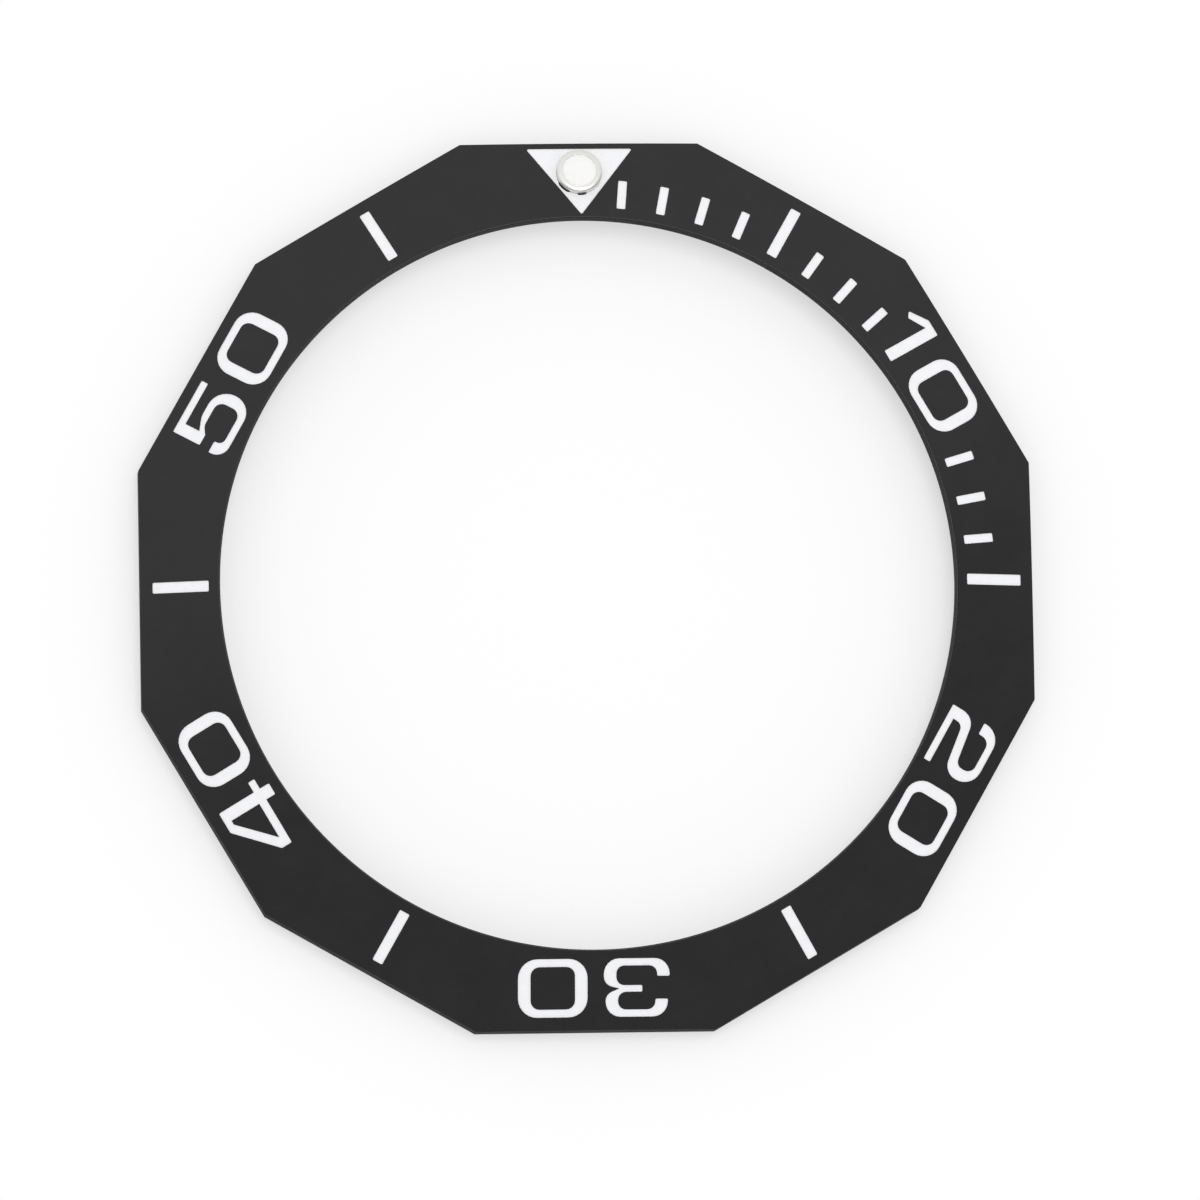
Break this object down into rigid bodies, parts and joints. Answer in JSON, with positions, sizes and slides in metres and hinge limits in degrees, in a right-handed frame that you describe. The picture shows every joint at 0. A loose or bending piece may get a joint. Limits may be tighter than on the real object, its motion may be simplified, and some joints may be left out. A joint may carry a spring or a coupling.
{
  "type": "watch bezel insert",
  "caption": "Sloped black ceramic bezel insert for a diver's watch, with a twelve-sided outline, a round bore, a lacquer-filled minute scale and a luminous pearl in its triangle.",
  "frame": {"origin": "on the ring's axis, at the underside of the bonding film", "axes": "+Z along the bore, out of the dial side; +Y towards the triangle at twelve o'clock; +X towards fifteen minutes"},
  "size_m": [0.0386, 0.0386, 0.0021],
  "materials": {
    "ceramic": "polished black zirconia",
    "white_lacquer": "satin white lacquer in the engraving",
    "pearl_steel": "polished",
    "pearl_lume": "matt luminous compound",
    "pearl_lens": "clear, polished",
    "bonding_film": "translucent adhesive film"
  },
  "bodies": {
    "root": {"insert_ring": "ceramic", "triangle_marker": "white_lacquer", "numeral_10_one": "white_lacquer", "numeral_10_zero": "white_lacquer", "numeral_20_two": "white_lacquer", "numeral_20_zero": "white_lacquer", "numeral_30_three": "white_lacquer", "numeral_30_zero": "white_lacquer", "numeral_40_four": "white_lacquer", "numeral_40_zero": "white_lacquer", "numeral_50_five": "white_lacquer", "numeral_50_zero": "white_lacquer", "baton_05": "white_lacquer", "baton_15": "white_lacquer", "baton_25": "white_lacquer", "baton_35": "white_lacquer", "baton_45": "white_lacquer", "baton_55": "white_lacquer", "minute_tick_01": "white_lacquer", "minute_tick_02": "white_lacquer", "minute_tick_03": "white_lacquer", "minute_tick_04": "white_lacquer", "minute_tick_06": "white_lacquer", "minute_tick_07": "white_lacquer", "minute_tick_08": "white_lacquer", "minute_tick_12": "white_lacquer", "minute_tick_13": "white_lacquer", "minute_tick_14": "white_lacquer", "pearl_cup": "pearl_steel", "pearl_lume": "pearl_lume", "pearl_lens": "pearl_lens", "bonding_film": "bonding_film"}
  },
  "joints": []
}
